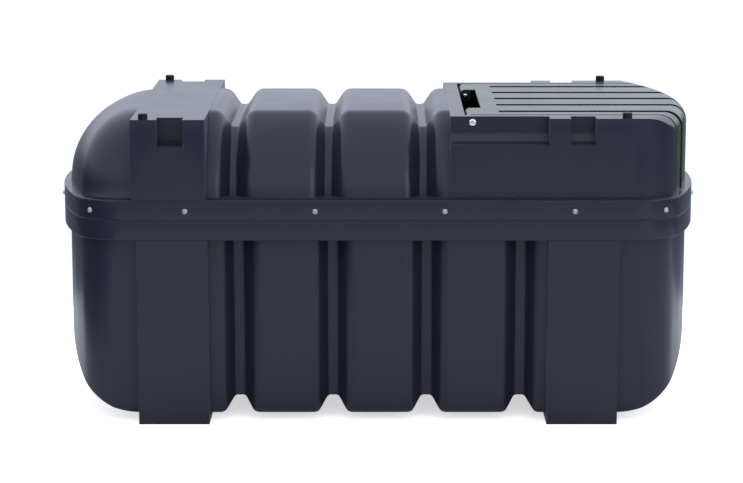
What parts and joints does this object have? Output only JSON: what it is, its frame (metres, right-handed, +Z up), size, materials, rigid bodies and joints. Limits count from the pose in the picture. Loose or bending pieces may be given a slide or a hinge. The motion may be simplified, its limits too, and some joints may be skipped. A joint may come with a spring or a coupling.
{
  "type": "bunded diesel storage tank",
  "caption": "Moulded plastic bunded fuel tank with wrap-around grooves, bolted mid flange, strap saddle, skid feet and a ribbed hinged lid over the pump cabinet.",
  "frame": {"origin": "middle of the footprint, on the floor that the skids rest on", "axes": "+X along the tank towards the pump cabinet, +Y towards the rear, +Z up"},
  "size_m": [2.5, 1.26, 1.1975],
  "materials": {
    "shell": "satin moulded polyethylene, anthracite",
    "lid": "satin moulded polyethylene, dark green",
    "pin": "bright plated steel",
    "plug": "black moulded plastic",
    "inner_tank": "black moulded polyethylene"
  },
  "bodies": {
    "tank": {"bund_floor": "shell", "bund_front_wall": "shell", "bund_rear_wall": "shell", "bund_left_end": "shell", "bund_right_end": "shell", "leg_front_left": "shell", "leg_front_right": "shell", "leg_rear_left": "shell", "leg_rear_right": "shell", "skid_left": "shell", "skid_right": "shell", "lower_flange": "shell", "upper_flange": "shell", "ribbed_roof": "shell", "left_dome": "shell", "left_saddle": "shell", "cabinet_front_wall": "shell", "cabinet_rear_wall": "shell", "cabinet_bulkhead": "shell", "hinge_pin_front": "pin", "hinge_pin_rear": "pin", "saddle_plug_front": "plug", "saddle_plug_rear": "plug", "cabinet_plug_front": "plug", "cabinet_plug_rear": "plug", "inner_tank": "inner_tank"},
    "lid": {"lid": "lid"}
  },
  "joints": [
    {"name": "lid_hinge", "type": "hinge", "parent": "tank", "child": "lid", "pos_m": [0.358, 0, 1.1515], "axis": [0, -1, 0], "range_deg": [0, 95]}
  ]
}
